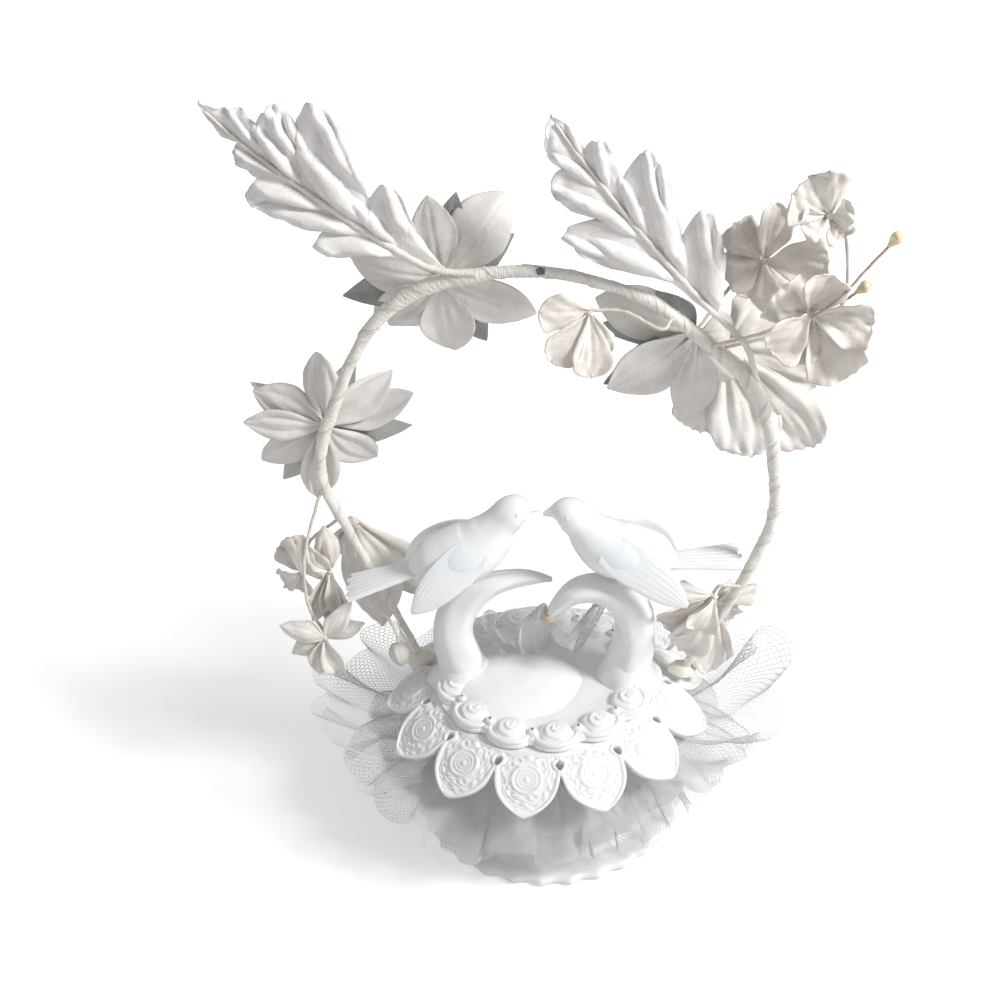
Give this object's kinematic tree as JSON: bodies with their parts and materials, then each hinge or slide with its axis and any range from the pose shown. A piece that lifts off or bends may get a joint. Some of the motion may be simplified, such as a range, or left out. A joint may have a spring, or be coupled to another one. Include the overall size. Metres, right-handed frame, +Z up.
{
  "type": "wedding cake topper",
  "caption": "White cake topper: moulded stand with leaf skirt and net ruffle, two doves on heart scrolls under a taped wire arch of satin flowers and leaves.",
  "frame": {"origin": "centre of the foot plate's flat underside", "axes": "+Z up; +X towards the right-hand foot of the arch as seen in the picture; -Y towards the viewer"},
  "size_m": [0.1371, 0.0824, 0.1821],
  "materials": {
    "moulded_plastic": "fine embossed satin sheen",
    "dove_plastic": "glossy",
    "net": "open hexagonal net",
    "sheer_leaf": "sheer woven grey-green",
    "satin": "ribbed satin",
    "paper_tape": "wound paper tape",
    "wire": "plain",
    "glue": "aged clear glue",
    "pearl": "pearly cream"
  },
  "bodies": {
    "root": {"foot_plate": "moulded_plastic", "pedestal_drum": "moulded_plastic", "leaf_skirt": "moulded_plastic", "rose_mound": "moulded_plastic", "scroll_left": "moulded_plastic", "scroll_right": "moulded_plastic", "dove_left": "dove_plastic", "dove_right": "dove_plastic", "net_ruffle_upper": "net", "net_ruffle_lower": "net", "net_puff": "net", "arch_wire": "wire", "arch_tape": "paper_tape", "glue_left": "glue", "glue_right": "glue", "lily_left_petals": "satin", "lily_left_net": "sheer_leaf", "lily_side_petals": "satin", "lily_side_net": "sheer_leaf", "drop_blossom": "satin", "lily_right_petals": "satin", "lily_right_net": "sheer_leaf", "broad_petals": "satin", "spray_blossom_top": "satin", "spray_blossom_middle": "satin", "spray_blossom_front": "satin", "cluster_left_blossom": "satin", "cluster_left_star": "satin", "cluster_left_bell": "satin", "cluster_left_leaves": "satin", "cluster_right_trumpet": "satin", "cluster_right_petals": "satin", "plume_left": "satin", "plume_left_rib": "paper_tape", "plume_right": "satin", "plume_right_rib": "paper_tape", "spray_stem_top": "paper_tape", "spray_stem_middle": "paper_tape", "spray_stem_front": "paper_tape", "cluster_left_stem_long": "paper_tape", "drop_blossom_stem": "paper_tape", "cluster_left_stem_back": "paper_tape", "cluster_right_stem": "paper_tape", "stamen_long": "paper_tape", "stamen_long_pearl": "pearl", "stamen_short": "paper_tape", "stamen_short_pearl": "pearl", "cluster_left_bud": "satin", "cluster_left_bud_stem": "paper_tape"}
  },
  "joints": []
}
